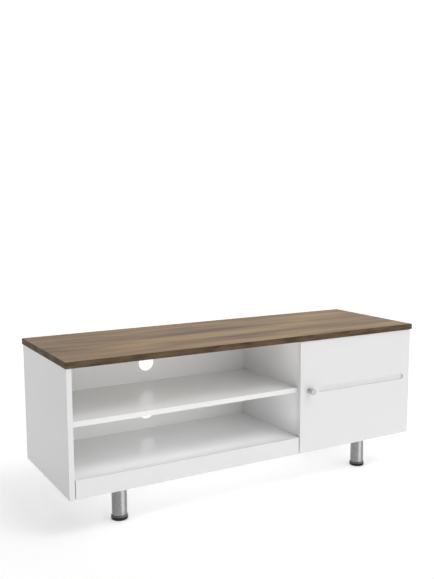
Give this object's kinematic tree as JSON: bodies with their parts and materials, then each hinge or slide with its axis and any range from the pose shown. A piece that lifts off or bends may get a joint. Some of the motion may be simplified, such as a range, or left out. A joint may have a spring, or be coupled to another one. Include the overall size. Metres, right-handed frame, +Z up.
{
  "type": "tv stand with door",
  "caption": "Low TV stand with two open bays, a hinged cabinet door with a knob and a routed groove, a recessed back with cable holes, and tubular legs with levelling feet.",
  "frame": {"origin": "on the floor, under the middle of the whole object's box", "axes": "+X to the right along the front, +Y to the back, +Z up"},
  "size_m": [1.2, 0.419, 0.48],
  "materials": {
    "walnut_laminate": "walnut-print laminate, satin",
    "walnut_edge_strip": "walnut-print edge strip, satin",
    "white_laminate": "white melamine on particleboard, semi-gloss",
    "white_hardboard": "white-faced hardboard, satin",
    "satin_nickel": "satin nickel",
    "chrome_tube": "chrome-plated tube",
    "black_plastic": "glossy black moulding",
    "dark_nylon": "black nylon",
    "zinc_steel": "zinc-plated steel",
    "zinc_casting": "die-cast zinc",
    "white_cap_plastic": "white plastic cap",
    "beech": "bare beech",
    "clear_rubber": "translucent bumper",
    "nickel_plated_steel": "nickel-plated pressed steel"
  },
  "bodies": {
    "carcass": {"back_panel": "white_hardboard", "back_panel_screws": "zinc_steel", "cam_bolts": "zinc_steel", "cam_covers": "white_cap_plastic", "cam_locks": "zinc_casting", "divider_panel": "white_laminate", "divider_screws": "zinc_steel", "floor_board": "white_laminate", "front_left_leg_insert": "dark_nylon", "front_left_leg_plate": "zinc_steel", "front_left_leg_tube": "chrome_tube", "front_rail": "white_laminate", "front_right_leg_insert": "dark_nylon", "front_right_leg_plate": "zinc_steel", "front_right_leg_tube": "chrome_tube", "hinge_arm_pins": "zinc_steel", "hinge_arm_screws": "zinc_steel", "hinge_plate_screws": "zinc_steel", "left_side_panel": "white_laminate", "leg_plate_screws": "zinc_steel", "lower_hinge_arm": "nickel_plated_steel", "lower_hinge_base_plate": "nickel_plated_steel", "rear_left_leg_insert": "dark_nylon", "rear_left_leg_plate": "zinc_steel", "rear_left_leg_tube": "chrome_tube", "rear_right_leg_insert": "dark_nylon", "rear_right_leg_plate": "zinc_steel", "rear_right_leg_tube": "chrome_tube", "right_side_panel": "white_laminate", "shelf_board": "white_laminate", "top_board": "walnut_laminate", "top_front_edge_strip": "walnut_edge_strip", "top_left_edge_strip": "walnut_edge_strip", "top_rear_edge_strip": "walnut_edge_strip", "top_right_edge_strip": "walnut_edge_strip", "upper_hinge_arm": "nickel_plated_steel", "upper_hinge_base_plate": "nickel_plated_steel", "wood_dowels": "beech"},
    "door": {"door_panel": "white_laminate", "knob": "satin_nickel", "knob_screw": "zinc_steel", "lower_hinge_cup": "nickel_plated_steel", "upper_hinge_cup": "nickel_plated_steel", "hinge_cup_screws": "zinc_steel", "door_bumpers": "clear_rubber"},
    "hinge_links": {"lower_hinge_link": "nickel_plated_steel", "upper_hinge_link": "nickel_plated_steel"},
    "front_left_foot": {"front_left_leg_foot": "black_plastic", "front_left_leg_stem": "zinc_steel"},
    "front_right_foot": {"front_right_leg_foot": "black_plastic", "front_right_leg_stem": "zinc_steel"},
    "rear_left_foot": {"rear_left_leg_foot": "black_plastic", "rear_left_leg_stem": "zinc_steel"},
    "rear_right_foot": {"rear_right_leg_foot": "black_plastic", "rear_right_leg_stem": "zinc_steel"}
  },
  "joints": [
    {"name": "door_hinge", "type": "hinge", "parent": "carcass", "child": "door", "pos_m": [0.593, -0.1845, 0.2825], "axis": [0, 0, 1], "range_deg": [0, 100]},
    {"name": "hinge_link_pivot", "type": "hinge", "parent": "carcass", "child": "hinge_links", "pos_m": [0.575, -0.1795, 0.2825], "axis": [0, 0, 1], "range_deg": [-46.5, 0]},
    {"name": "front_left_foot_thread", "type": "slide", "parent": "carcass", "child": "front_left_foot", "axis": [0, 0, 1], "range_m": [-0.012, 0]},
    {"name": "front_right_foot_thread", "type": "slide", "parent": "carcass", "child": "front_right_foot", "axis": [0, 0, 1], "range_m": [-0.012, 0]},
    {"name": "rear_left_foot_thread", "type": "slide", "parent": "carcass", "child": "rear_left_foot", "axis": [0, 0, 1], "range_m": [-0.012, 0]},
    {"name": "rear_right_foot_thread", "type": "slide", "parent": "carcass", "child": "rear_right_foot", "axis": [0, 0, 1], "range_m": [-0.012, 0]}
  ],
  "couplings": [
    {"joint": "hinge_link_pivot", "follows": "door_hinge", "ratio": -0.46}
  ]
}
